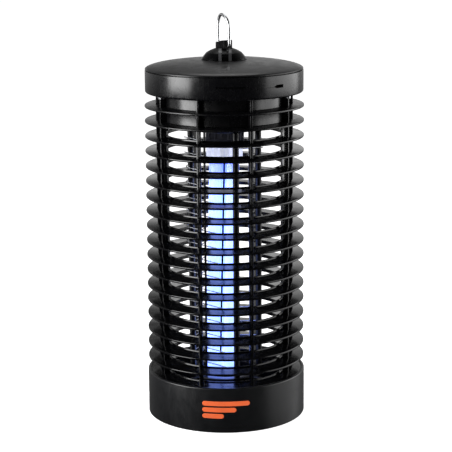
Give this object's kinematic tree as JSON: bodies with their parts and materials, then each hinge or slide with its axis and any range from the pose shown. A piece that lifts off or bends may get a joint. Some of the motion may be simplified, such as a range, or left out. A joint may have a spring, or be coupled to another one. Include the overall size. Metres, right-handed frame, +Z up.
{
  "type": "electric bug zapper",
  "caption": "Cylindrical hanging insect killer: stacked louvre cage round a wound high-voltage grid and a twin-tube lamp, on a pull-off catch tray, with a wire bail.",
  "frame": {"origin": "on the lantern's axis, at the underside of the catch tray", "axes": "+Z up along the lantern's axis, -Y towards the front, +X to the right seen from the front"},
  "size_m": [0.1412, 0.1412, 0.358],
  "materials": {
    "tray_plastic": "satin moulded ABS",
    "cage_plastic": "semi-gloss moulded ABS",
    "cap_plastic": "semi-gloss moulded ABS",
    "boss_plastic": "gloss moulded ABS",
    "nut_plastic": "natural nylon",
    "grid_plastic": "satin moulded ABS",
    "grid_wire": "drawn stainless wire",
    "screw_steel": "zinc plated steel",
    "bail_wire": "zinc plated spring wire",
    "socket_plastic": "dark thermoplastic",
    "lamp_cap_plastic": "white thermoplastic",
    "pin_brass": "plain",
    "lamp_glass": "phosphor-coated glass, lit",
    "board": "solder mask",
    "ballast_steel": "laminated steel, varnished",
    "transformer_plastic": "taped ferrite",
    "capacitor_plastic": "epoxy dipped",
    "bush_rubber": "moulded"
  },
  "bodies": {
    "housing": {"cage_foot_ring": "cage_plastic", "cage_post_1": "cage_plastic", "cage_post_2": "cage_plastic", "cage_post_3": "cage_plastic", "cage_post_4": "cage_plastic", "cage_post_5": "cage_plastic", "cage_post_6": "cage_plastic", "cage_post_7": "cage_plastic", "cage_post_8": "cage_plastic", "cage_post_9": "cage_plastic", "cage_post_10": "cage_plastic", "louvre_01": "cage_plastic", "louvre_02": "cage_plastic", "louvre_03": "cage_plastic", "louvre_04": "cage_plastic", "louvre_05": "cage_plastic", "louvre_06": "cage_plastic", "louvre_07": "cage_plastic", "louvre_08": "cage_plastic", "louvre_09": "cage_plastic", "louvre_10": "cage_plastic", "louvre_11": "cage_plastic", "louvre_12": "cage_plastic", "louvre_13": "cage_plastic", "louvre_14": "cage_plastic", "louvre_15": "cage_plastic", "louvre_16": "cage_plastic", "upper_housing": "cage_plastic", "housing_flange_1": "cage_plastic", "housing_flange_2": "cage_plastic", "top_rim": "cap_plastic", "top_lid": "cap_plastic", "cap_screw_1": "screw_steel", "cap_screw_2": "screw_steel", "cap_screw_3": "screw_steel", "hanger_boss": "boss_plastic", "hanger_nut": "nut_plastic", "grid_spider": "grid_plastic", "grid_top_ring": "grid_plastic", "grid_column_1": "grid_plastic", "grid_column_2": "grid_plastic", "grid_column_3": "grid_plastic", "grid_column_4": "grid_plastic", "grid_guard_rod": "grid_plastic", "grid_wire_a": "grid_wire", "grid_wire_b": "grid_wire", "lamp_socket": "socket_plastic", "socket_retainer": "grid_plastic", "circuit_board": "board", "ballast_choke": "ballast_steel", "grid_transformer": "transformer_plastic", "multiplier_capacitor": "capacitor_plastic", "cord_bush": "bush_rubber"},
    "tray": {"base_tray": "tray_plastic"},
    "bail": {"hanger_bail": "bail_wire"},
    "lamp": {"lamp_tube": "lamp_glass", "lamp_cap": "lamp_cap_plastic", "lamp_pin_1": "pin_brass", "lamp_pin_2": "pin_brass"}
  },
  "joints": [
    {"name": "bail_swing", "type": "hinge", "parent": "housing", "child": "bail", "pos_m": [0, 0, 0.3299], "axis": [0.5446, -0.8387, 0], "range_deg": [-95, 95]},
    {"name": "tray_drop", "type": "slide", "parent": "housing", "child": "tray", "axis": [0, 0, -1], "range_m": [0, 0.05]},
    {"name": "lamp_pull", "type": "slide", "parent": "housing", "child": "lamp", "axis": [-0.0262, 0, -0.9997], "range_m": [0, 0.02]}
  ]
}
